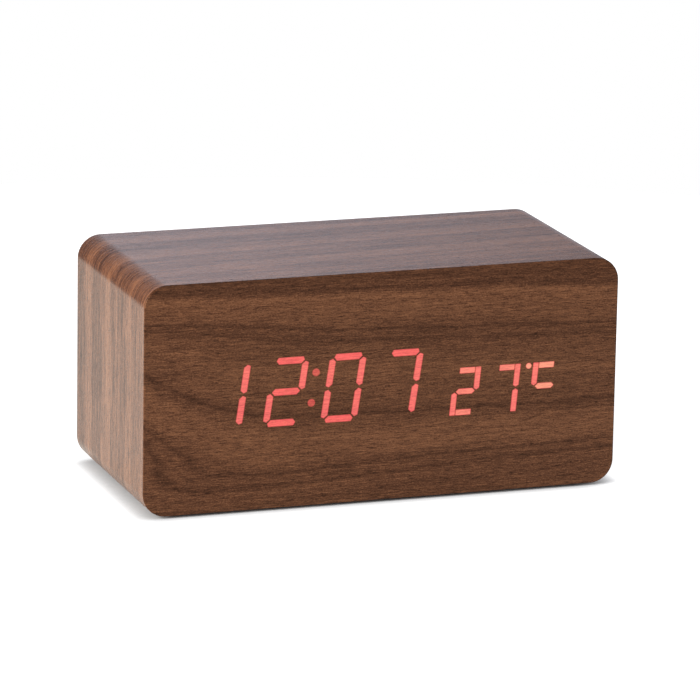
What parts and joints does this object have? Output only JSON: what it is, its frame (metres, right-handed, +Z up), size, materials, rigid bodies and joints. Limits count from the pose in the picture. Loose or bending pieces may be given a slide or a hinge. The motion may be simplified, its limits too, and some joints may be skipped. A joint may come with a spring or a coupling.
{
  "type": "desk clock with calendar",
  "caption": "Desk clock in a veneered wooden case with rounded edges. A hidden LED display shows time and temperature through the veneer; controls and battery door are on the back.",
  "frame": {"origin": "centre of the footprint, on the surface that the clock stands on", "axes": "+Z up, the display faces -Y, +X to the right seen from the front"},
  "size_m": [0.15, 0.07, 0.0713],
  "materials": {
    "veneer": "satin walnut veneer",
    "mdf": "raw fibreboard",
    "black_plastic": "fine matte texture",
    "diffuser": "milky diffuser",
    "circuit_board": "green solder mask",
    "chip": "moulded epoxy",
    "ceramic": "small ceramic parts",
    "steel": "nickel plated",
    "cell_jacket": "plain printed sleeve on a can",
    "foot_rubber": "soft pads",
    "red_wire": "insulation",
    "black_wire": "insulation",
    "ribbon": "flat cable insulation"
  },
  "bodies": {
    "case": {"battery_cell_1": "cell_jacket", "battery_cell_2": "cell_jacket", "battery_cell_3": "cell_jacket", "battery_contacts": "steel", "battery_lead_black": "black_wire", "battery_lead_red": "red_wire", "battery_springs": "steel", "buzzer": "black_plastic", "capacitor": "steel", "case_sleeve": "mdf", "chip_resistors": "ceramic", "control_board": "circuit_board", "control_screws": "steel", "cover_screws": "steel", "crystal": "steel", "display_board": "circuit_board", "display_drivers": "chip", "display_leds": "ceramic", "display_screws": "steel", "feet": "foot_rubber", "front_board": "mdf", "front_veneer": "veneer", "light_guides_dots": "diffuser", "light_guides_hour_tens": "diffuser", "light_guides_hour_units": "diffuser", "light_guides_minute_tens": "diffuser", "light_guides_minute_units": "diffuser", "light_guides_small_sign": "diffuser", "light_guides_small_tens": "diffuser", "light_guides_small_units": "diffuser", "microcontroller": "chip", "microphone": "steel", "rear_board": "mdf", "rear_cover": "black_plastic", "rear_veneer": "veneer", "ribbon_cable": "ribbon", "ribbon_headers": "chip", "segment_mask": "black_plastic", "slider_body": "black_plastic", "switch_bodies": "black_plastic", "temperature_sensor": "black_plastic", "usb_contacts": "steel", "usb_insert": "black_plastic", "usb_shell": "steel", "veneer_wrap": "veneer"},
    "set_button": {"button_set": "black_plastic", "switch_plunger_set": "black_plastic"},
    "up_button": {"button_up": "black_plastic", "switch_plunger_up": "black_plastic"},
    "down_button": {"button_down": "black_plastic", "switch_plunger_down": "black_plastic"},
    "sound_switch": {"slider_knob": "black_plastic"},
    "battery_door": {"battery_door": "black_plastic"}
  },
  "joints": [
    {"name": "set_button_press", "type": "slide", "parent": "case", "child": "set_button", "axis": [0, -1, 0], "range_m": [0, 0.0005], "stiffness_N_per_m": 1000, "springref_m": -0.001},
    {"name": "up_button_press", "type": "slide", "parent": "case", "child": "up_button", "axis": [0, -1, 0], "range_m": [0, 0.0005], "stiffness_N_per_m": 1000, "springref_m": -0.001},
    {"name": "down_button_press", "type": "slide", "parent": "case", "child": "down_button", "axis": [0, -1, 0], "range_m": [0, 0.0005], "stiffness_N_per_m": 1000, "springref_m": -0.001},
    {"name": "sound_switch_slide", "type": "slide", "parent": "case", "child": "sound_switch", "axis": [1, 0, 0], "range_m": [0, 0.002]},
    {"name": "battery_door_hinge", "type": "hinge", "parent": "case", "child": "battery_door", "pos_m": [-0.023, 0.0335, 0.0198], "axis": [-1, 0, 0], "range_deg": [0, 90]}
  ]
}
